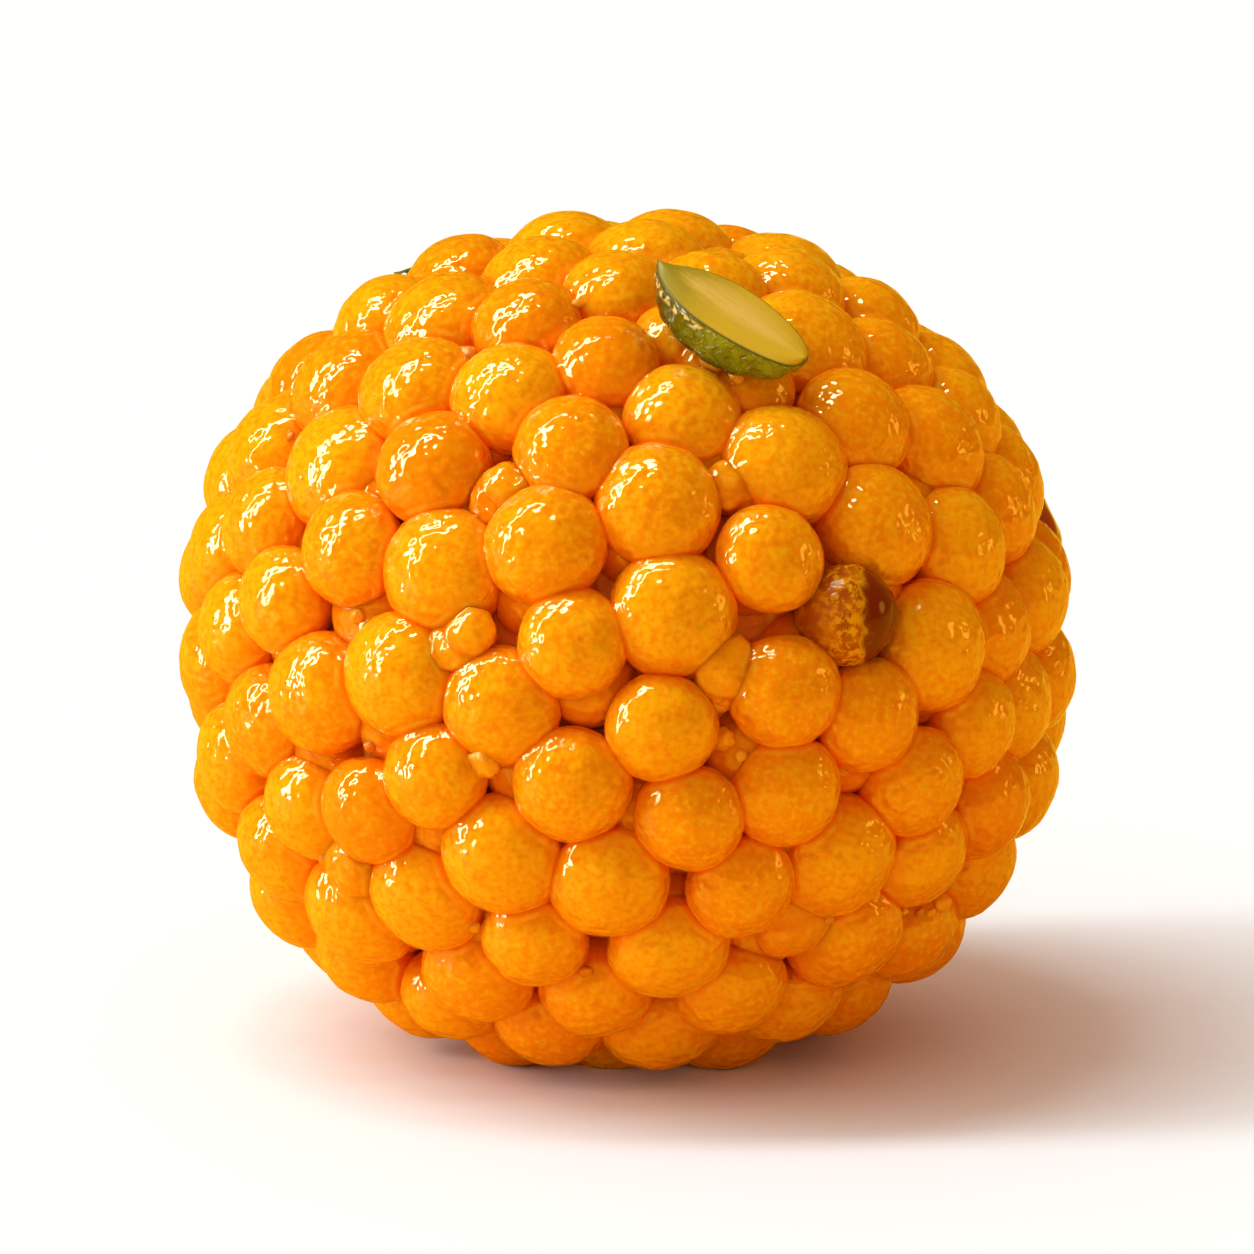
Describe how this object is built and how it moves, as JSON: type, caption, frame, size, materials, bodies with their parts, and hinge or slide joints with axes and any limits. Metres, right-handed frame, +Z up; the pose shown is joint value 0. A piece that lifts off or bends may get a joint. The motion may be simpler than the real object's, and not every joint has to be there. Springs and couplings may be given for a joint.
{
  "type": "motichoor ladoo",
  "caption": "Round sweet pressed from syrup-soaked fried gram-flour pearls, with halved pistachios and raisins set into its skin, resting on a small pressed-flat foot.",
  "frame": {"origin": "middle of the flat foot that the ball rests on, at the level of the surface under it", "axes": "+Z up, -Y towards the front where the first pistachio half and the amber raisin show, +X to the right as seen from the front"},
  "size_m": [0.0495, 0.0494, 0.0463],
  "materials": {
    "boondi": "fried gram-flour pearls soaked in syrup: translucent saffron orange with a wet, finely wrinkled skin",
    "pistachio": "halved pistachio kernel: pale yellow-green cut face with a golden middle, glossy dark green skin round its back",
    "amber_raisin": "syrup-coated raisin: gritty amber over a glossy dark maroon skin",
    "red_raisin": "plump glossy red raisin with shallow wrinkles"
  },
  "bodies": {
    "root": {"ladoo_ball": "boondi", "pistachio_half_front": "pistachio", "pistachio_half_back": "pistachio", "raisin_amber": "amber_raisin", "raisin_red": "red_raisin"}
  },
  "joints": []
}
